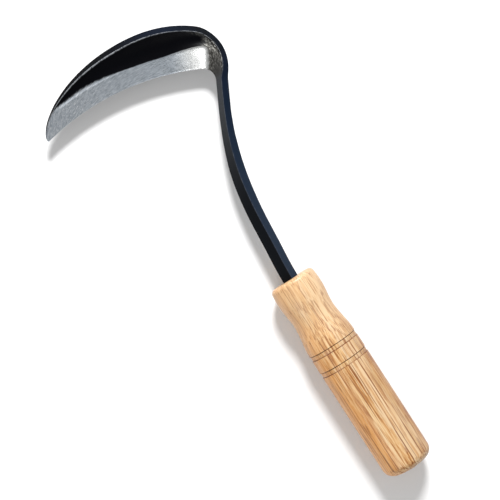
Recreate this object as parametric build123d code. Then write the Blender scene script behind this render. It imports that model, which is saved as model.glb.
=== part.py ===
"""Hand sickle: a one-piece steel forging (crescent blade, drawn-down neck, burnt-in tang) in a turned
hardwood handle.

Millimetres. X runs along the handle from the butt towards the blade, Z is up as the sickle lies on its
side, and the origin is on the handle's axis at the middle of its straight grip. The neck and the rim of
the blade run level with the handle's axis, and the blade leans down from the rim to its cutting edge.
"""

from build123d import *
from math import atan2, cos, degrees, hypot, radians, sin, tan
import os

# Handle, turned about X. Lengths add up from the butt to the mouth, where the neck comes out.
grip_diameter = 33.0
grip_length = 69.0
butt_length = 8.0  # domed and rounded butt, behind the grip
butt_dome_rise = 1.6
butt_dome_diameter = 20.0
groove_width = 3.0  # two turned finger grooves in front of the grip
groove_depth = 0.8
groove_floor = 2.0  # width of the groove's flat floor
band_length = 9.0  # between the grooves
flank_length = 21.5  # from the front groove to the waist
waist_diameter = 28.4
swell_length = 15.0  # from the waist to the swelling at the mouth
swell_diameter = 31.2
nose_length = 11.2  # from the swelling to the mouth
nose_radius = 3.2
nose_drop = 0.4  # what the radius loses from the swelling to the nose's rounding
nose_slope = 0.05  # of the profile where that rounding starts

# Tang, square, burnt into the handle
tang_length = 86.0
tang_tip_side = 4.2
tang_point_length = 7.0
tang_point_side = 1.0
tang_clearance = 0.08  # on every side of the tang
tang_end_gap = 1.5
nick_depth = 0.7  # chisel nicks on two arrises, which keep the tang from drawing out
nick_pitch = 13.0
nick_count = 4
nicked_arrises = (45, 225)  # degrees round the tang

# Neck: a square bar held arris upwards. Its path is given from the mouth.
bar_side = 7.5
neck_side = 5.5  # drawn down before the heel
bar_roll = 35.0  # slope of the upper inner face at the handle, in degrees
neck_roll = 51.0  # the same at the heel
drawing_start = 0.40  # shares of the path between which the bar is drawn down
drawing_end = 0.85
neck_path = [(0, 0), (26, -2.1), (50, -4.3), (73, -8.5), (93, -15.0), (110, -22.4), (127.7, -31.6)]
neck_end_heading = -27.3
neck_stations = 9

# Heel: the bar turns back on itself about an inner fillet and opens out into the blade
fillet_radius = 8.3
heel_turn = 90.3
heel_growth = 1.55  # power of the turn by which the bar opens
heel_softness = 0.25  # how far that opening is eased at both ends
heel_stations = 6

# Blade, laid out from its cutting edge, an arc that carries on from the fillet
edge_radius = 157.0
edge_angle = 39.5  # swept by the edge, seen from the arc's centre
heel_width = 26.7  # widths in plan
blade_width = 29.6
tip_width = 1.2
widest_share = 0.22  # share of the edge at which the blade is widest
belly_power = 1.6  # the width falls to the tip as (1 - u ** belly_power) ** tip_power
tip_power = 0.64
blade_stations = 12
rim_angle = 50.0  # slope of the face of the rim
rim_taper_start = 0.45  # share of the edge from which the rim thins
rim_tip_side = 0.8
edge_thickness = 0.6
blade_lean = 17.0  # slope of the face from the rim down to the edge
bevel_width = 10.1  # ground bevel, in plan
bevel_slope = 18.0
heel_bevel_width = 13.4  # the bevel starts wider and steeper at the heel
heel_bevel_slope = 24.0
heel_bevel_end = 0.22  # share of the edge by which it has settled
bevel_limit = 0.8  # largest share of the face that the bevel takes
hollow_depth = 1.5
back_bulge = 0.3

grip_end = grip_length / 2
mouth = grip_end + 2 * groove_width + band_length + flank_length + swell_length + nose_length
handle_back = -grip_end - butt_length
bar_section_turn = -bar_roll  # the bar's upper inner face slopes by bar_roll, so its square turns by that


def mix(low, high, share):
    """The value a share of the way from low to high."""
    return low + (high - low) * share


def ease(share):
    """A share from 0 to 1 that starts and ends gently."""
    return share * share * (3 - 2 * share)


def along(start, end, value):
    """How far value is from start to end, as a share from 0 to 1."""
    return min(1.0, max(0.0, (value - start) / (end - start)))


def groove(front):
    """Corners of one turned groove, from its edge nearer the mouth towards the butt."""
    radius = grip_diameter / 2
    wall = (groove_width - groove_floor) / 2
    floor_radius = radius - groove_depth
    return [
        (front, radius),
        (front - wall, floor_radius),
        (front - wall - groove_floor, floor_radius),
        (front - groove_width, radius),
    ]


def handle_blank():
    """The turned handle before its tang hole is burnt."""
    radius = grip_diameter / 2
    rear_groove = grip_end + groove_width
    front_groove = rear_groove + band_length + groove_width
    waist = (front_groove + flank_length, waist_diameter / 2)
    swell = (waist[0] + swell_length, swell_diameter / 2)
    nose_start = (mouth - nose_radius, swell_diameter / 2 - nose_drop)
    nose_end = (mouth, nose_start[1] - nose_radius)
    dome_edge = (handle_back + butt_dome_rise, butt_dome_diameter / 2)

    with BuildPart() as blank:
        with BuildSketch(Plane.XY):
            with BuildLine():
                Line((handle_back, 0), (mouth, 0))
                Line((mouth, 0), nose_end)
                TangentArc(nose_end, nose_start, tangent=(0, 1))
                profile = [nose_start, swell, waist, (front_groove, radius)]
                Spline(*profile, tangents=[(-1, nose_slope), (-1, 0)])
                Polyline(*groove(front_groove))
                Line((front_groove - groove_width, radius), (rear_groove, radius))
                Polyline(*groove(rear_groove))
                Line((grip_end, radius), (-grip_end, radius))
                TangentArc((-grip_end, radius), dome_edge, tangent=(-1, 0))
                TangentArc((handle_back, 0), dome_edge, tangent=(0, 1))
            make_face()
        revolve(axis=Axis.X)
    return blank.part


def square(x, side):
    """A square section across the handle's axis, turned like the neck's bar."""
    plane = Plane(origin=(x, 0, 0), x_dir=(0, 1, 0), z_dir=(1, 0, 0))
    return plane * Rot(0, 0, bar_section_turn) * Rectangle(side, side)


def tang(clearance=0.0, end_gap=0.0):
    """The tapered tang and its point, or with a clearance the hole that takes it."""
    back = mouth - tang_length - end_gap
    grown = 2 * clearance
    root = square(mouth, bar_side + grown)
    shoulder = square(back + tang_point_length, tang_tip_side + grown)
    tip = square(back, tang_point_side + grown)
    return loft([root, shoulder], ruled=True) + loft([shoulder, tip], ruled=True)


def nicks():
    """Chisel nicks across the tang's upper and lower arrises."""
    cuts = []
    shoulder = mouth - tang_length + tang_point_length
    for number in range(nick_count):
        x = shoulder + nick_pitch * (number + 1)
        half_side = mix(tang_tip_side, bar_side, along(shoulder, mouth, x)) / 2
        for arris in nicked_arrises:
            plane = Plane(origin=(x, 0, 0), x_dir=(0, 1, 0), z_dir=(1, 0, 0))
            corner = plane * Rot(0, 0, bar_section_turn + arris) * Pos(0, hypot(half_side, half_side), 0)
            cuts.append(corner * Rot(0, 45, 0) * Box(nick_depth * 2, nick_depth * 2, nick_depth * 2))
    return cuts


def section(origin, outward, profile):
    """One cross-section, standing upright on the plan line from the inner side to the outer side.

    Its corners are the ridge, the bevel line, the inner edge's top and bottom, and the rim's foot.
    origin is the inner point in plan, outward the unit direction to the outer side.
    """
    width = profile["width"]
    inner_z = profile["inner_z"]
    slope = radians(profile["inner_slope"])

    def place(depth, z):
        """A point depth inwards from the outer side."""
        reach = width - depth
        return Vector(origin[0] + outward[0] * reach, origin[1] + outward[1] * reach, z)

    def below(start, end, sag):
        """The control point of a curve from start to end that sags by this much under its chord."""
        run, drop = end[0] - start[0], end[1] - start[1]
        length = hypot(run, drop)
        middle = (start[0] + run / 2, start[1] + drop / 2)
        return middle[0] + 2 * sag * drop / length, middle[1] - 2 * sag * run / length

    rim_slope = radians(profile["rim_slope"])
    rim_foot = (0.0, profile["ridge_z"] - profile["rim_side"] * cos(rim_slope))
    ridge = (profile["rim_side"] * sin(rim_slope), profile["ridge_z"])
    inner_top = (width, inner_z)
    inner_foot = (width - profile["inner_side"] * sin(slope), inner_z - profile["inner_side"] * cos(slope))
    bevel_line = (width - profile["bevel"], inner_z + profile["bevel"] * tan(slope))
    face_control = below(ridge, bevel_line, profile["hollow"])
    back_control = below(rim_foot, inner_foot, profile["bulge"])
    edges = [
        Bezier(place(*ridge), place(*face_control), place(*bevel_line)),
        Line(place(*bevel_line), place(*inner_top)),
        Line(place(*inner_top), place(*inner_foot)),
        Bezier(place(*inner_foot), place(*back_control), place(*rim_foot)),
        Line(place(*rim_foot), place(*ridge)),
    ]
    return Wire(edges)


def bar_width(side, roll):
    """Width in plan of a square bar that is rolled by this angle."""
    return side * (sin(radians(roll)) + cos(radians(roll)))


def bar_profile(side, roll):
    """A square bar, arris upwards, as a section's profile."""
    ridge_z = bar_width(side, roll) / 2
    return {
        "width": bar_width(side, roll),
        "rim_side": side,
        "rim_slope": roll,
        "ridge_z": ridge_z,
        "inner_z": ridge_z - side * sin(radians(roll)),
        "inner_slope": roll,
        "inner_side": side,
        "bevel": side * cos(radians(roll)) / 2,
        "hollow": 0.0,
        "bulge": 0.0,
    }


def bar_section(centre, heading, side, roll):
    """A square section of the neck across its path."""
    inward = (-sin(radians(heading)), cos(radians(heading)))
    reach = bar_width(side, roll) / 2
    inner = (centre[0] + inward[0] * reach, centre[1] + inward[1] * reach)
    return section(inner, (-inward[0], -inward[1]), bar_profile(side, roll))


def neck_sections():
    """Square sections from the mouth to the heel, drawn down and rolled on the way."""
    end_way = (cos(radians(neck_end_heading)), sin(radians(neck_end_heading)))
    points = [(mouth + x, y) for x, y in neck_path]
    path = Spline(*points, tangents=[(1, 0), end_way])
    sections = []
    for number in range(neck_stations):
        share = number / (neck_stations - 1)
        drawn = ease(along(drawing_start, drawing_end, share))
        way = path % share
        heading = degrees(atan2(way.Y, way.X))
        side = mix(bar_side, neck_side, drawn)
        roll = mix(bar_roll, neck_roll, ease(share))
        sections.append(bar_section(tuple(path @ share), heading, side, roll))
    return sections


def plan_width(share):
    """The blade's width in plan at a share of its edge."""
    if share < widest_share:
        return blade_width - (blade_width - heel_width) * (1 - share / widest_share) ** 2
    run = (share - widest_share) / (1 - widest_share)
    return tip_width + (blade_width - tip_width) * (1 - run**belly_power) ** tip_power


def edge_height():
    """Height of the cutting edge: the neck's upper arris runs on level into the rim's ridge at the heel."""
    face_width = heel_width - neck_side * sin(radians(rim_angle))
    return bar_width(neck_side, neck_roll) / 2 - face_width * tan(radians(blade_lean))


def blade_profile(share):
    """The blade at a share of its edge: rim, sloping hollow face, ground bevel, thin edge and back."""
    width = plan_width(share)
    rim_side = mix(neck_side, rim_tip_side, along(rim_taper_start, 1.0, share))
    face_width = width - rim_side * sin(radians(rim_angle))
    settled = ease(along(0, heel_bevel_end, share))
    curve = width / blade_width
    return {
        "width": width,
        "rim_side": rim_side,
        "rim_slope": rim_angle,
        "ridge_z": edge_height() + face_width * tan(radians(blade_lean)),
        "inner_z": edge_height(),
        "inner_slope": mix(heel_bevel_slope, bevel_slope, settled),
        "inner_side": edge_thickness,
        "bevel": min(mix(heel_bevel_width, bevel_width, settled), bevel_limit * face_width),
        "hollow": hollow_depth * curve,
        "bulge": back_bulge * curve,
    }


def heel_profile(share):
    """Between the neck's square and the blade's wedge, at a share of the turn."""
    neck = bar_profile(neck_side, neck_roll)
    blade = blade_profile(0)
    profile = {name: mix(neck[name], blade[name], ease(share)) for name in neck}
    opening = mix(share**heel_growth, ease(share), heel_softness)
    profile["width"] = mix(neck["width"], blade["width"], opening)
    return profile


def arc_point(centre, radius, angle):
    """The point of an arc at this angle, and its unit direction from the centre."""
    outward = (cos(radians(angle)), sin(radians(angle)))
    return (centre[0] + radius * outward[0], centre[1] + radius * outward[1]), outward


def heel_and_blade_sections():
    """Sections round the heel's inner fillet, then along the cutting edge to the tip."""
    neck_end = (mouth + neck_path[-1][0], neck_path[-1][1])
    first_angle = neck_end_heading - 90
    last_angle = first_angle + heel_turn
    reach = fillet_radius + bar_width(neck_side, neck_roll) / 2
    fillet_centre, _ = arc_point(neck_end, -reach, first_angle)
    edge_centre, _ = arc_point(fillet_centre, fillet_radius - edge_radius, last_angle)
    sections = []
    for number in range(1, heel_stations):
        share = number / heel_stations
        inner, outward = arc_point(fillet_centre, fillet_radius, first_angle + heel_turn * share)
        sections.append(section(inner, outward, heel_profile(share)))
    for number in range(blade_stations):
        share = sin(radians(90 * number / (blade_stations - 1)))
        inner, outward = arc_point(edge_centre, edge_radius, last_angle + edge_angle * share)
        sections.append(section(inner, outward, blade_profile(share)))
    return sections


def forging():
    """Blade, neck and tang as one piece of steel."""
    steel = Solid.make_loft(neck_sections() + heel_and_blade_sections())
    body = steel + tang()
    for cut in nicks():
        body -= cut
    return body


def handle():
    """The turned handle with the square hole that the hot tang burns."""
    return handle_blank() - tang(tang_clearance, tang_end_gap)


os.makedirs("parts", exist_ok=True)
for name, shape in (("blade_forging", forging()), ("handle", handle())):
    export_step(shape, f"parts/{name}.step")
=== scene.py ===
import bmesh
import bpy
from math import atan2, cos, degrees, hypot, radians, sin, tan
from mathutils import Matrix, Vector


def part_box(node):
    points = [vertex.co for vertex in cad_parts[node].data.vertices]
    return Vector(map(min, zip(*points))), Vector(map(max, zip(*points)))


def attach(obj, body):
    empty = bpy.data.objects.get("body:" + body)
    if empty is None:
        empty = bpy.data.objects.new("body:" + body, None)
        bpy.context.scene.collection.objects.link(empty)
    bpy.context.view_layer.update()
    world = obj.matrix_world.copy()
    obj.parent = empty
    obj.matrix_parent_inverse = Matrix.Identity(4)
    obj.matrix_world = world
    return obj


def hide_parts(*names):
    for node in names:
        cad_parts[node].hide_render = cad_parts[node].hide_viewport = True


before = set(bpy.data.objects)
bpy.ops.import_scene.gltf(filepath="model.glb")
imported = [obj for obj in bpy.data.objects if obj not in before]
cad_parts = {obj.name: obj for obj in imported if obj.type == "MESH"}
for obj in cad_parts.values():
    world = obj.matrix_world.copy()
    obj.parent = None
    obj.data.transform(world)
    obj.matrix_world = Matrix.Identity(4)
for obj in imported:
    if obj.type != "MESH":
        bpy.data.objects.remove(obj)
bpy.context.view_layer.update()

mm = 0.001
forgingLow = Vector(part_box("blade_forging")[0])
handleLow, handleHigh = [Vector(corner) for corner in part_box("handle")]
groundHeight = min(forgingLow.z, handleLow.z)
gripRadius = handleHigh.z
mouth = handleHigh.x  # where the neck leaves the handle


def mix(low, high, share):
    return low + (high - low) * share


def ease(share):
    return share * share * (3 - 2 * share)


def along(start, end, value):
    return min(1.0, max(0.0, (value - start) / (end - start)))


def startFresh():  # nothing selected, nothing in edit mode
    if bpy.context.object and bpy.context.object.mode != "OBJECT":
        bpy.ops.object.mode_set(mode="OBJECT")
    bpy.ops.object.select_all(action="DESELECT")


def activeMesh():
    return bmesh.from_edit_mesh(bpy.context.object.data)


def pickVerts(wanted):
    bpy.ops.mesh.select_mode(type="VERT")
    bpy.ops.mesh.select_all(action="DESELECT")
    mesh = activeMesh()
    for vert in mesh.verts:
        vert.select = wanted(vert)
    mesh.select_flush(True)
    bmesh.update_edit_mesh(bpy.context.object.data)


def finishPiece(piece, materials, cadNode):
    startFresh()
    piece.select_set(True)
    bpy.context.view_layer.objects.active = piece
    bpy.ops.object.transform_apply(location=True, rotation=True, scale=True)
    for material in materials:
        piece.data.materials.append(material)
    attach(piece, "root")
    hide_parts(cadNode)


def newMaterial(name):
    material = bpy.data.materials.new(name)
    material.use_nodes = True
    tree = material.node_tree
    shader = tree.nodes["Principled BSDF"]
    return material, tree, shader


def wire(tree, value, socket):
    if isinstance(value, bpy.types.NodeSocket):
        tree.links.new(value, socket)
    else:
        socket.default_value = value


def mathNode(tree, operation, first, second=0.0, clamp=False):
    node = tree.nodes.new("ShaderNodeMath")
    node.operation = operation
    node.use_clamp = clamp
    wire(tree, first, node.inputs[0])
    wire(tree, second, node.inputs[1])
    return node.outputs[0]


def rangeNode(tree, value, fromLow, fromHigh, toLow=0.0, toHigh=1.0, smooth=True):
    node = tree.nodes.new("ShaderNodeMapRange")
    node.interpolation_type = "SMOOTHSTEP" if smooth else "LINEAR"
    for place, number in enumerate((value, fromLow, fromHigh, toLow, toHigh)):
        wire(tree, number, node.inputs[place])
    return node.outputs[0]


def sumsFor(tree):  # the sums of one material under short names
    def times(first, second):
        return mathNode(tree, "MULTIPLY", first, second)

    def plus(first, second):
        return mathNode(tree, "ADD", first, second)

    def minus(first, second):
        return mathNode(tree, "SUBTRACT", first, second)

    def larger(first, second):
        return mathNode(tree, "MAXIMUM", first, second)

    return times, plus, minus, larger


def noiseNode(tree, vector, scale, detail=3.0, roughness=0.55):
    node = tree.nodes.new("ShaderNodeTexNoise")
    wire(tree, vector, node.inputs["Vector"])
    node.inputs["Scale"].default_value = scale
    node.inputs["Detail"].default_value = detail
    node.inputs["Roughness"].default_value = roughness
    return node.outputs["Fac"]


def mapNode(tree, vector, scale=(1, 1, 1), rotation=(0, 0, 0), location=(0, 0, 0)):
    node = tree.nodes.new("ShaderNodeMapping")
    wire(tree, vector, node.inputs["Vector"])
    node.inputs["Scale"].default_value = scale
    node.inputs["Rotation"].default_value = rotation
    node.inputs["Location"].default_value = location
    return node.outputs[0]


def inMillimetres(tree, vector):
    return mapNode(tree, vector, scale=(1 / mm, 1 / mm, 1 / mm))


def colourMix(tree, share, first, second, blend="MIX"):
    node = tree.nodes.new("ShaderNodeMix")
    node.data_type = "RGBA"
    node.blend_type = blend
    wire(tree, share, node.inputs[0])
    wire(tree, first, node.inputs[6])
    wire(tree, second, node.inputs[7])
    return node.outputs[2]


def rampNode(tree, value, stops):
    node = tree.nodes.new("ShaderNodeValToRGB")
    ramp = node.color_ramp
    while len(ramp.elements) < len(stops):
        ramp.elements.new(0.5)
    for element, (place, colour) in zip(ramp.elements, stops):
        element.position = place
        element.color = colour
    wire(tree, value, node.inputs[0])
    return node.outputs[0]


def bumpNode(tree, height, distance, strength):
    node = tree.nodes.new("ShaderNodeBump")
    node.inputs["Strength"].default_value = strength
    node.inputs["Distance"].default_value = distance
    wire(tree, height, node.inputs["Height"])
    return node.outputs[0]


def srgb(red, green, blue):  # 0-255 display colour to scene colour
    def linear(channel):
        channel = channel / 255
        return channel / 12.92 if channel <= 0.04045 else ((channel + 0.055) / 1.055) ** 2.4
    return (linear(red), linear(green), linear(blue), 1.0)


studio = {
    "viewHeight": 0.85,  # camera above the handle's axis
    "viewWidth": 0.3117,  # width of the view at that height
    "viewCentre": (0.1262, 0.0114),
    "viewTurn": -122.85,
    "keyDistance": 1.5,
    "keyTilt": 46.0,  # from straight overhead
    "keyBearing": 90.5,  # in the view, anticlockwise from its right
    "keySize": 0.42,
    "keyPower": 36.5,
    "panelTilt": 51.0,  # low panel that the heel of the bevel mirrors
    "panelBearing": 255.5,
    "panelDistance": 1.2,
    "panelSize": (0.56, 0.40),
    "panelPower": 4.0,
    "panelTarget": (0.255, -0.02, 0.0),
    "worldLight": 0.39,
    "floorTone": (0.837, 0.837, 0.837, 1.0),
    "floorSize": 6.0,
    "floorRoughness": 0.9,
    "sensorWidth": 36.0,
}


def viewWay(bearing):  # a bearing in the view as a direction on the floor
    turn = radians(bearing + studio["viewTurn"])
    return Vector((cos(turn), sin(turn), 0))


def aim(thing, target):
    way = Vector(target) - thing.location
    thing.rotation_euler = way.to_track_quat("-Z", "Y").to_euler()


def softLight(name, bearing, tilt, distance, size, power, target):
    centre = Vector(target)
    data = bpy.data.lights.new(name, "AREA")
    data.shape = "DISK" if isinstance(size, float) else "RECTANGLE"
    if isinstance(size, float):
        data.size = size
    else:
        data.size, data.size_y = size
    data.energy = power
    lamp = bpy.data.objects.new(name, data)
    bpy.context.collection.objects.link(lamp)
    lift = Vector((0, 0, cos(radians(tilt))))
    lamp.location = centre + (viewWay(bearing) * sin(radians(tilt)) + lift) * distance
    aim(lamp, centre)


def setStudio():
    startFresh()
    floorCentre = (*studio["viewCentre"], groundHeight)
    bpy.ops.mesh.primitive_plane_add(size=studio["floorSize"], location=floorCentre)
    floor = bpy.context.object
    floor.name = "studioFloor"
    paper, _, shader = newMaterial("palePaper")
    shader.inputs["Base Color"].default_value = studio["floorTone"]
    shader.inputs["Roughness"].default_value = studio["floorRoughness"]
    shader.inputs["Specular IOR Level"].default_value = 0.0
    floor.data.materials.append(paper)

    world = bpy.data.worlds.new("softRoom")
    world.use_nodes = True
    background = world.node_tree.nodes["Background"]
    background.inputs["Color"].default_value = (1.0, 1.0, 1.0, 1.0)
    background.inputs["Strength"].default_value = studio["worldLight"]
    bpy.context.scene.world = world

    softLight("keyLight", studio["keyBearing"], studio["keyTilt"], studio["keyDistance"],
              studio["keySize"], studio["keyPower"], floorCentre)
    softLight("heelPanel", studio["panelBearing"], studio["panelTilt"], studio["panelDistance"],
              studio["panelSize"], studio["panelPower"], studio["panelTarget"])

    lens = bpy.data.cameras.new("topCamera")
    lens.sensor_width = studio["sensorWidth"]
    lens.lens = lens.sensor_width * studio["viewHeight"] / studio["viewWidth"]
    camera = bpy.data.objects.new("topCamera", lens)
    bpy.context.collection.objects.link(camera)
    camera.location = (*studio["viewCentre"], studio["viewHeight"])
    camera.rotation_euler = (0, 0, radians(studio["viewTurn"]))
    bpy.context.scene.camera = camera
    bpy.context.scene.view_settings.view_transform = "Standard"
    print("studio set")


handleSetup = {
    "gripHalf": 34.5 * mm,
    "grooveWidth": 3.0 * mm,
    "bandLength": 9.0 * mm,
    "grooveDepth": 0.42 * mm,
    "scoreDepth": 0.5 * mm,  # the fine line cut at both edges of a groove
    "scoreWidth": 0.42 * mm,
    "scoreFloor": 0.25,  # share of that width that is flat at the bottom
    "grooveMargin": 1.0 * mm,
    "flankLength": 21.5 * mm,
    "waistRadius": 14.2 * mm,
    "swellLength": 15.0 * mm,
    "swellRadius": 15.6 * mm,
    "noseRadius": 3.2 * mm,
    "noseDrop": 0.4 * mm,
    "domeRadius": 10.0 * mm,
    "domeRise": 1.6 * mm,
    "holeSide": 7.66 * mm,
    "holeDepth": 9.0 * mm,
    "sides": 96,
    "domeRings": 6,
    "cornerRings": 14,
    "gripRings": 14,
    "bandRings": 4,
    "flankRings": 16,
    "swellRings": 10,
    "frontRings": 5,
    "noseRings": 7,
    "weldDistance": 0.002 * mm,
    "smoothAngle": 38.0,
    "pithAcross": 30.0,  # the pith lies outside the handle, in millimetres to one side and below
    "pithBelow": 18.0,
    "ringSpacing": 4.2,
    "ringWander": 13.0,
    "sapBorder": 2.2,
    "borderWander": 17.0,
    "woodTones": [
        (0.16, srgb(206, 176, 134)),
        (0.38, srgb(190, 149, 100)),
        (0.58, srgb(170, 121, 70)),
        (0.8, srgb(128, 76, 34)),
    ],
    # the pale sapwood colour doubles as a painted highlight; the warm colour is painted warm light
    # on one side; the tint is painted shade; the mouth colour is a painted sheen
    "sapAndHighlightColour": srgb(198, 172, 138),
    "paintedWarmSideColour": srgb(218, 152, 82),
    "farSideShadeTint": srgb(226, 216, 200),
    "mouthSheenColour": srgb(214, 182, 143),
    "poreColour": srgb(112, 58, 20),
    "burntColour": srgb(112, 64, 34),
    "woodGloss": 0.45,
    "grainDepth": 0.08 * mm,
    "grainStrength": 0.6,
}
barRoll = 35.0  # slope of the neck's upper inner face at the mouth


def scoredEdge(place, size, radius, floorRadius):  # one burnt line, seen along the handle
    half = size["scoreWidth"] / 2
    flat = half * size["scoreFloor"]
    return [
        (place - half, radius),
        (place - flat, radius - size["scoreDepth"]),
        (place + flat, radius - size["scoreDepth"]),
        (place + half, floorRadius),
    ]


def groovePlaces():  # both edges of both grooves
    size = handleSetup
    rear = size["gripHalf"]
    front = rear + size["grooveWidth"] + size["bandLength"]
    return [rear, rear + size["grooveWidth"], front, front + size["grooveWidth"]]


def handleStations():  # (place along the handle, radius) from the butt to the mouth
    size = handleSetup
    butt = handleLow.x
    stations = []
    for step in range(1, size["domeRings"] + 1):  # shallow dome
        share = step / size["domeRings"]
        radius = size["domeRadius"] * step / size["domeRings"]
        stations.append((butt + size["domeRise"] * share ** 2, radius))
    cornerStart = stations[-1]
    cornerEnd = -size["gripHalf"]
    for step in range(1, size["cornerRings"] + 1):  # rounded corner into the grip
        turn = radians(90 * step / size["cornerRings"])
        x = mix(cornerStart[0], cornerEnd, 1 - cos(turn))
        stations.append((x, mix(cornerStart[1], gripRadius, sin(turn))))
    edges = groovePlaces()
    gripEnd = edges[0] - size["grooveMargin"]
    for step in range(1, size["gripRings"]):  # straight grip
        stations.append((mix(cornerEnd, gripEnd, step / (size["gripRings"] - 1)), gripRadius))
    grooveRadius = gripRadius - size["grooveDepth"]
    stations += scoredEdge(edges[0], size, gripRadius, grooveRadius)
    stations += scoredEdge(edges[1], size, grooveRadius, gripRadius)
    for step in range(1, size["bandRings"]):  # raised band between the grooves
        stations.append((mix(edges[1], edges[2], step / size["bandRings"]), gripRadius))
    stations += scoredEdge(edges[2], size, gripRadius, grooveRadius)
    stations += scoredEdge(edges[3], size, grooveRadius, gripRadius)
    waist = edges[3] + size["flankLength"]
    for step in range(1, size["flankRings"] + 1):  # flank down to the waist
        share = step / size["flankRings"]
        radius = mix(gripRadius, size["waistRadius"], ease(share))
        stations.append((mix(edges[3], waist, share), radius))
    swell = waist + size["swellLength"]
    for step in range(1, size["swellRings"] + 1):  # out again to the swell
        share = step / size["swellRings"]
        radius = mix(size["waistRadius"], size["swellRadius"], ease(share))
        stations.append((mix(waist, swell, share), radius))
    noseStart = mouth - size["noseRadius"]
    noseTop = size["swellRadius"] - size["noseDrop"]
    for step in range(1, size["frontRings"] + 1):
        share = step / size["frontRings"]
        radius = mix(size["swellRadius"], noseTop, share * share)
        stations.append((mix(swell, noseStart, share), radius))
    for step in range(1, size["noseRings"] + 1):  # rounded lip of the mouth
        turn = radians(90 * step / size["noseRings"])
        x = noseStart + size["noseRadius"] * sin(turn)
        stations.append((x, noseTop - size["noseRadius"] * (1 - cos(turn))))
    return stations


def fromAxis(vert):
    return hypot(vert.co.y, vert.co.z)


def turnHandle():
    size = handleSetup
    stations = handleStations()
    startFresh()
    firstX, firstRadius = stations[0]
    bpy.ops.mesh.primitive_circle_add(
        vertices=size["sides"], radius=firstRadius, fill_type="TRIFAN",
        location=(firstX, 0, 0), rotation=(0, radians(-90), 0))
    piece = bpy.context.object
    piece.name = "turnedHandle"
    bpy.ops.object.transform_apply(location=True, rotation=True, scale=True)
    bpy.ops.object.mode_set(mode="EDIT")
    pickVerts(lambda vert: fromAxis(vert) < firstRadius / 2)  # the middle of the butt
    bpy.ops.transform.translate(value=(handleLow.x - firstX, 0, 0))
    pickVerts(lambda vert: fromAxis(vert) > firstRadius / 2)
    lastX, lastRadius = firstX, firstRadius
    for x, radius in stations[1:]:
        bpy.ops.mesh.extrude_edges_move(TRANSFORM_OT_translate={"value": (x - lastX, 0, 0)})
        scale = radius / lastRadius
        bpy.ops.transform.resize(value=(1, scale, scale), center_override=(x, 0, 0))
        lastX, lastRadius = x, radius

    # the tang's square hole: a square loop in the mouth, bridged to the rim and sunk into the wood
    rimPlace = mouth - 0.01 * mm
    holeReach = size["holeSide"] * 0.72  # just past the corners of the square
    bpy.ops.mesh.select_all(action="DESELECT")
    bpy.ops.mesh.primitive_circle_add(
        vertices=4, radius=size["holeSide"] / 2 * 2 ** 0.5, fill_type="NOTHING",
        location=(mouth, 0, 0), rotation=(0, radians(-90), 0))
    bpy.ops.transform.rotate(
        value=radians(barRoll - 45), orient_axis="X", center_override=(mouth, 0, 0))
    bpy.ops.mesh.subdivide(number_cuts=size["sides"] // 4 - 1)
    pickVerts(lambda vert: vert.co.x > rimPlace)
    bpy.ops.mesh.bridge_edge_loops()
    pickVerts(lambda vert: vert.co.x > rimPlace and fromAxis(vert) < holeReach)
    bpy.ops.mesh.extrude_edges_move(TRANSFORM_OT_translate={"value": (-size["holeDepth"], 0, 0)})
    bpy.ops.mesh.fill()
    bpy.ops.mesh.select_all(action="SELECT")
    bpy.ops.mesh.remove_doubles(threshold=size["weldDistance"])
    bpy.ops.mesh.normals_make_consistent(inside=False)
    bpy.ops.object.mode_set(mode="OBJECT")
    bpy.ops.object.shade_smooth_by_angle(angle=radians(size["smoothAngle"]))
    finishPiece(piece, [oiledWood()], "handle")
    print("handle turned")


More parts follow.
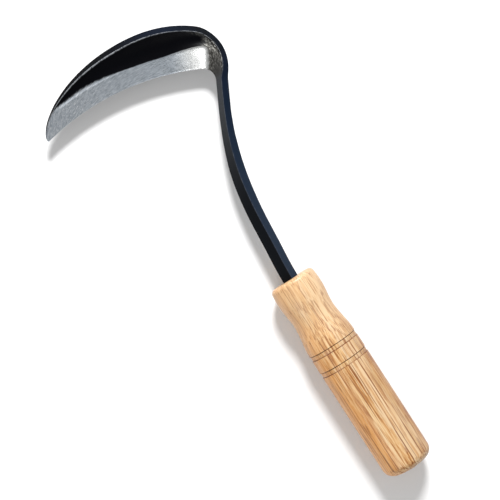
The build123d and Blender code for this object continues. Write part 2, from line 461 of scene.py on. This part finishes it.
def oiledWood():
    size = handleSetup
    material, tree, shader = newMaterial("paleHardwood")
    times, plus, minus, larger = sumsFor(tree)
    place = tree.nodes.new("ShaderNodeTexCoord").outputs["Object"]
    millimetres = inMillimetres(tree, place)
    apart = tree.nodes.new("ShaderNodeSeparateXYZ")
    wire(tree, millimetres, apart.inputs[0])
    lengthPlace, sidePlace, heightPlace = apart.outputs

    def grainNoise(lengthwise, across, shift, detail=3.0, roughness=0.6):  # stretched lengthwise
        vector = mapNode(tree, millimetres, scale=(lengthwise, across, across), location=shift)
        return noiseNode(tree, vector, 1.0, detail, roughness)

    # growth rings round the pith, wandering along the grain
    wander = minus(grainNoise(0.016, 0.06, (0, 0, 0), 3.0, 0.55), 0.5)
    wander = times(wander, size["ringWander"])
    side = minus(sidePlace, size["pithAcross"])
    deep = plus(heightPlace, size["pithBelow"])
    fromPith = mathNode(tree, "SQRT", plus(times(side, side), times(deep, deep)))
    rings = mathNode(tree, "DIVIDE", plus(fromPith, wander), size["ringSpacing"])
    ring = mathNode(tree, "FRACT", rings)
    early = times(rangeNode(tree, ring, 0.35, 0.97), rangeNode(tree, ring, 1.0, 0.97))

    # the rings and four noises stretched along the handle add up to the tone of the wood
    fibres = grainNoise(0.032, 0.85, (0, 0, 0), 5.0, 0.72)
    streaks = grainNoise(0.016, 0.5, (3, 9, 4), 4.0, 0.7)
    broad = grainNoise(0.012, 0.09, (0, 0, 0), 2.0)
    pits = grainNoise(0.075, 1.0, (4, 4, 4), 3.0, 0.65)
    tone = plus(times(early, 0.16), times(rangeNode(tree, fibres, 0.39, 0.62), 0.42))
    tone = plus(tone, times(rangeNode(tree, streaks, 0.36, 0.66), 0.20))
    tone = plus(tone, times(rangeNode(tree, pits, 0.46, 0.64), 0.22))
    broad = times(rangeNode(tree, broad, 0.35, 0.7), 0.14)
    tone = mathNode(tree, "ADD", tone, broad, clamp=True)
    wood = rampNode(tree, tone, size["woodTones"])

    # pale sapwood along one side of the top, with a wavy border, which is also a painted highlight;
    # painted warm light on the other side, painted shade at the far edge, and a painted sheen
    # towards the mouth
    wave = minus(grainNoise(0.028, 0.10, (2, 6, 1), 4.0, 0.6), 0.5)
    wavySide = plus(sidePlace, times(wave, size["borderWander"]))
    border = plus(wavySide, size["sapBorder"])
    sapAndHighlight = times(rangeNode(tree, border, 0.5, -0.4), rangeNode(tree, border, -13.0, -8.5))
    sapAndHighlight = times(sapAndHighlight, rangeNode(tree, fibres, 0.60, 0.42, 0.25, 0.9))
    wood = colourMix(tree, sapAndHighlight, wood, size["sapAndHighlightColour"])
    # painted warm light: the other side of the top is made warmer and more saturated
    paintedWarmSide = rangeNode(tree, wavySide, 4.0, 13.0, 0.0, 0.55)
    wood = colourMix(tree, paintedWarmSide, wood, size["paintedWarmSideColour"])
    # painted shade: the far side is darkened towards its edge
    farSideShade = rangeNode(tree, wavySide, -8.0, -14.0)
    wood = colourMix(tree, farSideShade, wood, size["farSideShadeTint"], blend="MULTIPLY")
    # painted sheen: the wood is made paler towards the mouth
    mouthSheen = rangeNode(tree, lengthPlace, 40.0, 75.0, 0.0, 0.42)
    wood = colourMix(tree, mouthSheen, wood, size["mouthSheenColour"])

    # open pores: long thin lines, shorter dashes, and a line along the wavy border of the pale
    # sapwood
    longLines = rangeNode(tree, grainNoise(0.022, 1.15, (7, 3, 1), 1.0, 0.4), 0.59, 0.66)
    shortLines = grainNoise(0.06, 1.4, (1, 8, 5), 2.0, 0.5)
    shortLines = rangeNode(tree, plus(shortLines, times(early, 0.05)), 0.645, 0.74)
    borderLine = rangeNode(tree, mathNode(tree, "ABSOLUTE", border), 0.55, 0.1)
    broken = rangeNode(tree, grainNoise(0.06, 0.3, (5, 1, 8), 2.0), 0.46, 0.58)
    borderLine = times(borderLine, broken)
    dark = larger(larger(longLines, shortLines), times(borderLine, 0.8))
    dark = times(dark, rangeNode(tree, lengthPlace, 42.0, 70.0, 0.78, 0.5))
    wood = colourMix(tree, dark, wood, size["poreColour"])

    # burnt lines at the edges of the grooves
    burnt = None
    for edge in groovePlaces():
        gap = mathNode(tree, "ABSOLUTE", minus(lengthPlace, edge / mm))
        line = rangeNode(tree, gap, 0.40, 0.12)
        burnt = line if burnt is None else larger(burnt, line)
    uneven = grainNoise(0.3, 0.22, (0, 0, 0), 2.0, 0.55)
    burnt = times(burnt, rangeNode(tree, uneven, 0.3, 0.6, 0.45, 0.95))
    wood = colourMix(tree, burnt, wood, size["burntColour"])
    wire(tree, wood, shader.inputs["Base Color"])

    wire(tree, rangeNode(tree, fibres, 0.3, 0.8, 0.34, 0.48), shader.inputs["Roughness"])
    shader.inputs["Specular IOR Level"].default_value = size["woodGloss"]
    height = minus(times(fibres, 0.35), dark)
    bump = bumpNode(tree, height, size["grainDepth"], size["grainStrength"])
    wire(tree, bump, shader.inputs["Normal"])
    return material


forgingSetup = {
    "barSide": 7.5 * mm,
    "neckSide": 5.5 * mm,
    "neckRoll": 51.0,
    "drawnFrom": 0.40,  # shares of the neck between which the bar is drawn down
    "drawnTo": 0.85,
    "neckPath": [  # millimetres from the mouth
        (0, 0), (26, -2.1), (50, -4.3), (73, -8.5), (93, -15.0), (110, -22.4), (127.7, -31.6),
    ],
    "neckHeading": -27.3,
    "neckSteps": 16,
    "hiddenLength": 7.0 * mm,  # the stretch of tang inside the mouth
    "hiddenStation": -0.05,
    "filletRadius": 8.3 * mm,
    "heelTurn": 90.3,
    "heelGrowth": 1.55,  # power by which the bar opens round the heel
    "heelSoftness": 0.25,
    "heelSteps": 12,
    "edgeRadius": 157.0 * mm,
    "edgeAngle": 39.5,
    "heelWidth": 26.7 * mm,
    "bladeWidth": 29.6 * mm,
    "tipWidth": 1.2 * mm,
    "widestShare": 0.22,
    "bellyPower": 1.6,
    "tipPower": 0.64,
    "bladeSteps": 18,
    "rimSlope": 50.0,
    "rimTaperStart": 0.45,
    "rimTipSide": 0.8 * mm,
    "edgeThickness": 0.6 * mm,
    "bladeLean": 17.0,
    "bevelWidth": 10.1 * mm,
    "bevelSlope": 18.0,
    "heelBevelWidth": 13.4 * mm,  # the bevel starts wider and steeper
    "heelBevelSlope": 24.0,
    "heelBevelEnd": 0.22,
    "bevelLimit": 0.8,
    "hollowDepth": 1.5 * mm,
    "backBulge": 0.3 * mm,
    "hammerDepth": 0.14 * mm,
    "hammerSpacing": 9 * mm,
    "smoothLevels": 3,
    # black lacquer with painted reflections: the navy tones are painted sky reflection on the outer
    # faces, the greys painted floor reflection on the neck's inner face
    "navyNeck": srgb(24, 36, 52),
    "navyHeel": srgb(11, 19, 33),
    "blackRim": srgb(5, 6, 9),
    "blackHeelColour": srgb(6, 8, 11),
    "innerMouth": srgb(16, 18, 21),
    "innerNeck": srgb(62, 64, 67),
    "innerBlade": srgb(3, 3, 5),
    "lacquerMottle": srgb(4, 6, 10),
    "patchTones": [
        (0.36, srgb(22, 22, 21)),
        (0.5, srgb(66, 65, 62)),
        (0.64, srgb(146, 145, 140)),
    ],
    "patchNeck": srgb(62, 61, 60),
    # painted shade on the patch by the rim
    "patchRimShade": srgb(18, 19, 22),
    # painted glints of the ground steel
    "sparkleColour": srgb(214, 213, 206),
    "steelTones": [
        (0.28, srgb(144, 152, 161)),
        (0.5, srgb(177, 185, 193)),
        (0.74, srgb(214, 219, 225)),
    ],
    # below: paler heel steel as a painted highlight, and a colour for painted glints
    "steelHeelHighlight": srgb(206, 207, 206),
    "glintColour": srgb(240, 242, 244),
    # rim arris: worn bare steel that is also a painted edge highlight
    "wearAndHighlightColour": srgb(190, 194, 200),
    "lacquerGloss": 0.04,
    "baseRoughness": 0.34,
    "groundDepth": 0.12 * mm,
    "groundStrength": 0.7,
}
bowPoints = 3  # between the arrises of the inner face, and of the back
# corners round a section, starting at the ridge that faces up
ringNames = [
    "ridge", "face1", "face2", "face3", "bevelLine", "bevelMiddle", "innerTop", "innerFoot",
    "back1", "back2", "back3", "rimFoot", "rimMiddle",
]
sharpCorners = {  # how strongly each arris is creased
    "ridge": 0.75, "bevelLine": 0.7, "innerTop": 0.8, "innerFoot": 0.8, "rimFoot": 0.75,
}


def barWidth(side, roll):
    return side * (sin(radians(roll)) + cos(radians(roll)))


def sectionPoints(inner, outward, shape):  # the ring of points of one section, standing upright
    width, rimSide, faceSlope = shape["width"], shape["rimSide"], shape["faceSlope"]

    def place(depth, z):
        reach = width - depth
        return Vector((inner[0] + outward[0] * reach, inner[1] + outward[1] * reach, z))

    def bowed(start, end, sag):
        run, drop = end[0] - start[0], end[1] - start[1]
        length = max(hypot(run, drop), 1e-9)
        points = []
        for step in range(1, bowPoints + 1):
            share = step / (bowPoints + 1)
            dip = 4 * sag * share * (1 - share)
            points.append((start[0] + run * share + dip * drop / length,
                           start[1] + drop * share - dip * run / length))
        return points

    ridge = (rimSide * sin(radians(faceSlope)), shape["ridgeZ"])
    rimFoot = (0.0, shape["ridgeZ"] - rimSide * cos(radians(faceSlope)))
    innerTop = (width, shape["innerZ"])
    slope = radians(shape["bevelSlope"])
    bevelLine = (width - shape["bevel"], shape["innerZ"] + shape["bevel"] * tan(slope))
    innerFoot = (width - shape["innerSide"] * sin(slope),
                 shape["innerZ"] - shape["innerSide"] * cos(slope))
    ring = [ridge]
    ring += bowed(ridge, bevelLine, shape["hollow"])
    ring += [bevelLine, ((bevelLine[0] + innerTop[0]) / 2, (bevelLine[1] + innerTop[1]) / 2)]
    ring += [innerTop, innerFoot]
    ring += reversed(bowed(rimFoot, innerFoot, shape["bulge"]))
    ring += [rimFoot, ((rimFoot[0] + ridge[0]) / 2, (rimFoot[1] + ridge[1]) / 2)]
    return [place(*point) for point in ring]


def barShape(side, roll):
    half = barWidth(side, roll) / 2
    return {
        "width": half * 2, "rimSide": side, "faceSlope": roll, "ridgeZ": half,
        "innerZ": half - side * sin(radians(roll)), "bevelSlope": roll, "innerSide": side,
        "bevel": side * cos(radians(roll)) / 2, "hollow": 0.0, "bulge": 0.0,
    }


def neckPoint(share):  # a smooth curve through the points of the neck's path
    size = forgingSetup
    points = [Vector((mouth + x * mm, y * mm)) for x, y in size["neckPath"]]
    heading = radians(size["neckHeading"])
    slopes = [Vector((points[1].x - points[0].x, 0))]
    for before, after in zip(points, points[2:]):
        slopes.append((after - before) / 2)
    slopes.append(Vector((cos(heading), sin(heading))) * (points[-1] - points[-2]).length)
    spot = share * (len(points) - 1)
    piece = min(int(spot), len(points) - 2)
    t = spot - piece
    here = (points[piece] * (2 * t**3 - 3 * t**2 + 1) + slopes[piece] * (t**3 - 2 * t**2 + t)
            + points[piece + 1] * (-2 * t**3 + 3 * t**2) + slopes[piece + 1] * (t**3 - t**2))
    way = (points[piece] * (6 * t**2 - 6 * t) + slopes[piece] * (3 * t**2 - 4 * t + 1)
           + points[piece + 1] * (-6 * t**2 + 6 * t) + slopes[piece + 1] * (3 * t**2 - 2 * t))
    return here, degrees(atan2(way.y, way.x))  # the place and the heading there


def barSection(centre, heading, side, roll):
    inward = Vector((-sin(radians(heading)), cos(radians(heading))))
    inner = centre + inward * barWidth(side, roll) / 2
    return sectionPoints(inner, -inward, barShape(side, roll))


def arcPoint(centre, radius, angle):
    outward = Vector((cos(radians(angle)), sin(radians(angle))))
    return centre + outward * radius, outward


def planWidth(share):
    size = forgingSetup
    full, widest = size["bladeWidth"], size["widestShare"]
    if share < widest:
        return full - (full - size["heelWidth"]) * (1 - share / widest) ** 2
    run = (share - widest) / (1 - widest)
    narrowing = (1 - run ** size["bellyPower"]) ** size["tipPower"]
    return size["tipWidth"] + (full - size["tipWidth"]) * narrowing


def edgeHeight():  # the neck's upper arris runs on level into the rim's ridge at the heel
    size = forgingSetup
    faceWidth = size["heelWidth"] - size["neckSide"] * sin(radians(size["rimSlope"]))
    arrisHeight = barWidth(size["neckSide"], size["neckRoll"]) / 2
    return arrisHeight - faceWidth * tan(radians(size["bladeLean"]))


def bladeShape(share):
    size = forgingSetup
    width = planWidth(share)
    rimSide = mix(size["neckSide"], size["rimTipSide"], along(size["rimTaperStart"], 1.0, share))
    faceWidth = width - rimSide * sin(radians(size["rimSlope"]))
    settled = ease(along(0, size["heelBevelEnd"], share))
    bevel = mix(size["heelBevelWidth"], size["bevelWidth"], settled)
    curve = width / size["bladeWidth"]
    return {
        "width": width, "rimSide": rimSide, "faceSlope": size["rimSlope"],
        "ridgeZ": edgeHeight() + faceWidth * tan(radians(size["bladeLean"])),
        "innerZ": edgeHeight(),
        "bevelSlope": mix(size["heelBevelSlope"], size["bevelSlope"], settled),
        "innerSide": size["edgeThickness"], "bevel": min(bevel, size["bevelLimit"] * faceWidth),
        "hollow": size["hollowDepth"] * curve, "bulge": size["backBulge"] * curve,
    }


def heelShape(share):  # between the neck's square and the blade's wedge
    size = forgingSetup
    neck = barShape(size["neckSide"], size["neckRoll"])
    blade = bladeShape(0)
    shape = {name: mix(neck[name], blade[name], ease(share)) for name in neck}
    opening = mix(share ** size["heelGrowth"], ease(share), size["heelSoftness"])
    shape["width"] = mix(neck["width"], blade["width"], opening)
    return shape


def forgingStations():  # (station, ring of points): neck 0 to 1, heel 1 to 2, blade 2 to 3
    size = forgingSetup
    stations = []
    start = Vector((mouth - size["hiddenLength"], 0))
    stations.append((size["hiddenStation"], barSection(start, 0, size["barSide"], barRoll)))
    for step in range(size["neckSteps"] + 1):
        share = step / size["neckSteps"]
        here, heading = neckPoint(share)
        drawn = ease(along(size["drawnFrom"], size["drawnTo"], share))
        side = mix(size["barSide"], size["neckSide"], drawn)
        roll = mix(barRoll, size["neckRoll"], ease(share))
        stations.append((share, barSection(here, heading, side, roll)))
    neckEnd, _ = neckPoint(1.0)
    firstAngle = size["neckHeading"] - 90
    lastAngle = firstAngle + size["heelTurn"]
    reach = size["filletRadius"] + barWidth(size["neckSide"], size["neckRoll"]) / 2
    filletCentre, _ = arcPoint(neckEnd, -reach, firstAngle)
    edgeCentre, _ = arcPoint(filletCentre, size["filletRadius"] - size["edgeRadius"], lastAngle)
    for step in range(1, size["heelSteps"]):
        share = step / size["heelSteps"]
        angle = firstAngle + size["heelTurn"] * share
        inner, outward = arcPoint(filletCentre, size["filletRadius"], angle)
        stations.append((1 + share, sectionPoints(inner, outward, heelShape(share))))
    for step in range(size["bladeSteps"] + 1):
        share = sin(radians(90 * step / size["bladeSteps"]))
        angle = lastAngle + size["edgeAngle"] * share
        inner, outward = arcPoint(edgeCentre, size["edgeRadius"], angle)
        stations.append((2 + share, sectionPoints(inner, outward, bladeShape(share))))
    return stations


def drawRing(ring, number):  # extrude the last ring on the spot and pull each corner to its place
    if number:
        bpy.ops.mesh.extrude_edges_move(TRANSFORM_OT_translate={"value": (0, 0, 0)})
    mesh = activeMesh()
    corner = mesh.verts.layers.int["corner"]
    station = mesh.verts.layers.int["station"]
    newest = sorted((vert for vert in mesh.verts if vert.select), key=lambda vert: vert[corner])
    for vert in newest:
        vert[station] = number
    places = [vert.co.copy() for vert in newest]
    numbers = [vert.index for vert in newest]
    for index, place, target in zip(numbers, places, ring):
        mesh = activeMesh()
        mesh.verts.ensure_lookup_table()
        for other in numbers:
            mesh.verts[other].select = other == index
        mesh.select_flush_mode()
        bpy.ops.transform.translate(value=target - place)
    mesh = activeMesh()
    mesh.verts.ensure_lookup_table()
    for index in numbers:
        mesh.verts[index].select = True
    mesh.select_flush(True)


def creaseArrises():
    for name, crease in sharpCorners.items():
        wanted = ringNames.index(name)
        bpy.ops.mesh.select_all(action="DESELECT")
        bpy.ops.mesh.select_mode(type="EDGE")
        mesh = activeMesh()
        corner = mesh.verts.layers.int["corner"]
        for edge in mesh.edges:
            edge.select = all(vert[corner] == wanted for vert in edge.verts)
        mesh.select_flush(True)
        bpy.ops.transform.edge_crease(value=crease)
    bpy.ops.mesh.select_mode(type="VERT")


def mapForging(piece, stations):
    # placeMap: station and corner numbers. metalMap: metres along and round the bar
    mesh = piece.data
    count = len(ringNames)
    lengths = [0.0]
    rounds = []
    for number, (_, ring) in enumerate(stations):
        distances = [0.0]
        for here, there in zip(ring, ring[1:] + ring[:1]):
            distances.append(distances[-1] + (there - here).length)
        rounds.append(distances)
        if number:
            middle = sum(ring, Vector()) / count
            before = sum(stations[number - 1][1], Vector()) / count
            lengths.append(lengths[-1] + (middle - before).length)
    corner = mesh.attributes["corner"].data
    station = mesh.attributes["station"].data
    mesh.uv_layers.new(name="placeMap")
    mesh.uv_layers.new(name="metalMap")
    placeMap = mesh.uv_layers["placeMap"].data
    metalMap = mesh.uv_layers["metalMap"].data
    for face in mesh.polygons:
        corners = [corner[vert].value for vert in face.vertices]
        wraps = len(corners) == 4 and max(corners) - min(corners) > 2  # it closes the ring
        for loop, vert in zip(face.loop_indices, face.vertices):
            spot = station[vert].value
            place = corner[vert].value
            if wraps and place == 0:
                place = count
            placeMap[loop].uv = (stations[spot][0], place)
            metalMap[loop].uv = (lengths[spot], rounds[spot][place])


def forgeSteel():
    stations = forgingStations()
    startFresh()
    bpy.ops.mesh.primitive_circle_add(
        vertices=len(ringNames), radius=forgingSetup["barSide"] / 2, fill_type="NOTHING",
        location=(mouth, 0, 0))
    piece = bpy.context.object
    piece.name = "sickleForging"
    bpy.ops.object.transform_apply(location=True, rotation=True, scale=True)
    bpy.ops.object.mode_set(mode="EDIT")
    mesh = activeMesh()
    corner = mesh.verts.layers.int.new("corner")
    mesh.verts.layers.int.new("station")
    for number, vert in enumerate(mesh.verts):
        vert[corner] = number
        vert.select = True
    mesh.select_flush(True)
    for number, (_, ring) in enumerate(stations):
        drawRing(ring, number)
    lastStation = len(stations) - 1
    for end in (0, lastStation):  # close the tip and the hidden end of the tang
        mesh = activeMesh()
        station = mesh.verts.layers.int["station"]
        for vert in mesh.verts:
            vert.select = vert[station] == end
        mesh.select_flush(True)
        bpy.ops.mesh.edge_face_add()
    creaseArrises()
    bpy.ops.mesh.select_all(action="SELECT")
    bpy.ops.mesh.normals_make_consistent(inside=False)
    bpy.ops.object.mode_set(mode="OBJECT")
    mapForging(piece, stations)
    smooth = piece.modifiers.new("smooth", "SUBSURF")
    smooth.levels = forgingSetup["smoothLevels"]
    smooth.render_levels = forgingSetup["smoothLevels"]
    smooth.uv_smooth = "NONE"
    bpy.ops.object.modifier_apply(modifier="smooth")
    hammer = piece.modifiers.new("hammer", "DISPLACE")
    hammer.texture = bpy.data.textures.new("hammerMarks", "CLOUDS")
    hammer.texture.noise_scale = forgingSetup["hammerSpacing"]
    hammer.texture_coords = "LOCAL"
    hammer.strength = forgingSetup["hammerDepth"]
    bpy.ops.object.modifier_apply(modifier="hammer")
    bpy.ops.object.shade_smooth()
    finishPiece(piece, [lacqueredSteel()], "blade_forging")
    print("steel forged")


def lacqueredSteel():
    # station: 0 to 1 up the neck, 1 to 2 round the heel, 2 to 3 along the blade
    # corner: the number round the section, in the order of ringNames, back to the ridge at the end
    size = forgingSetup
    bevelLine = ringNames.index("bevelLine")
    innerTop = ringNames.index("innerTop")
    innerFoot = ringNames.index("innerFoot")
    ridgeAgain = len(ringNames)
    material, tree, shader = newMaterial("lacqueredSteel")
    times, plus, minus, larger = sumsFor(tree)
    placeMap = tree.nodes.new("ShaderNodeUVMap")
    placeMap.uv_map = "placeMap"
    split = tree.nodes.new("ShaderNodeSeparateXYZ")
    wire(tree, placeMap.outputs[0], split.inputs[0])
    metalMap = tree.nodes.new("ShaderNodeUVMap")
    metalMap.uv_map = "metalMap"
    metal = inMillimetres(tree, metalMap.outputs[0])
    place = tree.nodes.new("ShaderNodeTexCoord").outputs["Object"]
    millimetres = inMillimetres(tree, place)
    station, corner = split.outputs[0], split.outputs[1]

    def stretched(vector, lengthwise, across, detail, roughness, shift=(0, 0, 0)):
        stretch = mapNode(tree, vector, scale=(lengthwise, across, 1), location=shift)
        return noiseNode(tree, stretch, 1.0, detail, roughness)

    grain = noiseNode(tree, millimetres, 1.4, 4.0, 0.6)
    coarse = noiseNode(tree, millimetres, 0.35, 3.0, 0.6)
    loose = minus(coarse, 0.5)
    fine = minus(grain, 0.5)

    # ground bevel: from the bevel line down to the cutting edge, feathered towards the tip
    feather = rangeNode(tree, station, 2.4, 2.85, 0.03, 0.9)
    alongBlade = mapNode(tree, metal, rotation=(0, 0, radians(-3)))
    strokes = stretched(alongBlade, 0.30, 1.3, 4.0, 0.75)
    edgeShift = plus(times(minus(strokes, 0.5), feather), times(loose, 0.06))
    bevelPlace = plus(corner, times(edgeShift, 2.2))
    bevelPlace = plus(bevelPlace, rangeNode(tree, station, 2.76, 2.93, 0.0, 3.4))
    softStart = rangeNode(tree, station, 2.35, 2.8, bevelLine - 0.18, bevelLine - 1.6)
    bevel = rangeNode(tree, bevelPlace, softStart, bevelLine + 0.08)
    bevel = times(bevel, rangeNode(tree, corner, innerFoot + 0.3, innerFoot + 0.05))
    bevelStart = rangeNode(tree, corner, bevelLine, innerTop + 0.2, 1.90, 1.70, smooth=False)
    bevelRun = minus(plus(station, times(loose, 0.12)), bevelStart)
    bevel = times(bevel, rangeNode(tree, bevelRun, -0.10, 0.08))

    # inner face of the whole bar, and the rough ground patch round the heel
    faceEnd = rangeNode(tree, corner, innerTop + 0.6, innerTop + 0.2)
    face = times(rangeNode(tree, corner, 0.02, 0.12), faceEnd)
    ridgeward = rangeNode(tree, corner, 1.6, 0.2)
    heelEnd = plus(plus(station, times(loose, 0.16)), times(ridgeward, -0.13))
    heel = times(rangeNode(tree, station, 0.95, 1.35), rangeNode(tree, heelEnd, 1.95, 1.86))
    heel = times(heel, face)
    heel = times(heel, minus(1.0, bevel))

    # bare steel along the top of the rim: partly real wear, partly a painted edge highlight
    wearAndHighlightWidth = rangeNode(tree, station, 1.9, 3.0, 0.10, 0.55)
    wearAndHighlight = rangeNode(tree, corner, wearAndHighlightWidth, 0.0)
    wearAndHighlight = larger(wearAndHighlight, rangeNode(tree, corner, ridgeAgain - 0.14, ridgeAgain))
    patchy = noiseNode(tree, metal, 0.6, 3.0, 0.7)
    wearAndHighlight = times(wearAndHighlight, rangeNode(tree, patchy, 0.40, 0.58, 0.15, 1.0))
    wearAndHighlightHeel = times(rangeNode(tree, station, 1.15, 1.4), rangeNode(tree, station, 1.95, 1.7))
    wearAndHighlightNeck = rangeNode(tree, station, 0.0, 1.0, 0.10, 0.24)
    wearAndHighlightShare = plus(wearAndHighlightNeck, rangeNode(tree, station, 2.1, 2.6, 0.0, 0.8))
    wearAndHighlightShare = plus(wearAndHighlightShare, times(wearAndHighlightHeel, 0.55))
    wearAndHighlight = times(wearAndHighlight, wearAndHighlightShare)

    # black lacquer with painted reflections: navy painted sky reflection outside, fading to black
    # along the rim and in patches at the heel, black in the hollow, and grey painted floor
    # reflection on the neck's inner face, darker by the mouth
    upNeck = rangeNode(tree, station, 0.0, 1.6)
    outside = colourMix(tree, upNeck, size["navyNeck"], size["navyHeel"])
    intoHeel = rangeNode(tree, station, 0.3, 1.15)
    inside = colourMix(tree, intoHeel, size["innerMouth"], size["innerNeck"])
    hollow = rangeNode(tree, station, 1.80, 1.95)
    inside = colourMix(tree, hollow, inside, size["innerBlade"])
    alongRim = rangeNode(tree, station, 2.12, 2.5)
    outside = colourMix(tree, alongRim, outside, size["blackRim"])
    blackHeel = times(rangeNode(tree, station, 1.42, 1.62), rangeNode(tree, station, 2.2, 1.98))
    blackHeel = times(blackHeel, rangeNode(tree, coarse, 0.6, 0.4, 0.65, 0.95))
    outside = colourMix(tree, blackHeel, outside, size["blackHeelColour"])
    lacquerAndReflection = colourMix(tree, face, outside, inside)
    underside = rangeNode(tree, corner, innerFoot - 0.1, innerFoot + 0.1)
    lacquerAndReflection = colourMix(tree, underside, lacquerAndReflection, outside)
    mottle = times(rangeNode(tree, grain, 0.35, 0.75), 0.35)
    lacquerAndReflection = colourMix(tree, mottle, lacquerAndReflection, size["lacquerMottle"])

    # mottled ground steel round the heel, even in tone at the neck, with painted shade towards the
    # rim where the surface curves up into the neck
    speckle = rangeNode(tree, noiseNode(tree, millimetres, 2.6, 3.0, 0.7), 0.58, 0.74)
    patch = rampNode(tree, stretched(metal, 0.55, 0.8, 4.0, 0.8), size["patchTones"])
    patch = colourMix(tree, rangeNode(tree, station, 1.75, 1.25), patch, size["patchNeck"])
    # painted shade: the patch darkens towards the rim
    shadeByRim = rangeNode(tree, corner, 2.0, 0.6, 0.0, 0.75)
    patch = colourMix(tree, shadeByRim, patch, size["patchRimShade"])
    # painted glints: pale specks in the base colour near the ridge at the heel
    sparkleSpots = rangeNode(tree, stretched(metal, 0.5, 1.1, 3.0, 0.7), 0.54, 0.63)
    sparkle = times(times(sparkleSpots, wearAndHighlightHeel), rangeNode(tree, corner, 2.2, 0.9))
    patch = colourMix(tree, sparkle, patch, size["sparkleColour"])

    # bare steel of the bevel, scratched along the blade, paler and neutral at the heel as a painted
    # highlight, with painted glints towards the tip
    scratch = stretched(alongBlade, 0.24, 1.6, 4.0, 0.75)
    steel = rampNode(tree, scratch, size["steelTones"])
    # painted highlight: the steel is paler and neutral at the heel
    heelHighlight = rangeNode(tree, station, 2.18, 2.02)
    steel = colourMix(tree, heelHighlight, steel, size["steelHeelHighlight"])
    # painted glints along the bevel towards the tip
    glint = stretched(alongBlade, 0.5, 1.3, 4.0, 0.8, shift=(4, 2, 0))
    glint = times(rangeNode(tree, glint, 0.5, 0.62), rangeNode(tree, station, 2.35, 2.8, 0.0, 0.75))
    steel = colourMix(tree, glint, steel, size["glintColour"])

    colour = colourMix(tree, heel, lacquerAndReflection, patch)
    colour = colourMix(tree, bevel, colour, steel)
    colour = colourMix(tree, wearAndHighlight, colour, size["wearAndHighlightColour"])
    wire(tree, colour, shader.inputs["Base Color"])
    bare = larger(larger(bevel, times(heel, 0.55)), wearAndHighlight)
    wire(tree, bare, shader.inputs["Metallic"])

    # the bevel is a little smoother at the heel, where it mirrors the low panel
    rough = plus(size["baseRoughness"], times(fine, 0.25))
    rough = plus(rough, times(heel, 0.2))
    rough = plus(rough, times(bevel, rangeNode(tree, station, 2.35, 2.05, 0.0, -0.08)))
    rough = plus(rough, times(bevel, times(minus(scratch, 0.5), 0.3)))
    wire(tree, rough, shader.inputs["Roughness"])
    shader.inputs["Specular IOR Level"].default_value = size["lacquerGloss"]

    height = times(fine, minus(0.5, times(bevel, 0.42)))
    height = plus(height, times(heel, times(speckle, 1.6)))
    height = plus(height, times(heel, times(loose, 5.0)))
    scratchDepth = rangeNode(tree, station, 2.05, 2.35, 0.06, 0.5)
    height = plus(height, times(times(bevel, scratch), scratchDepth))
    bump = bumpNode(tree, height, size["groundDepth"], size["groundStrength"])
    wire(tree, bump, shader.inputs["Normal"])
    return material


setStudio()
turnHandle()
forgeSteel()
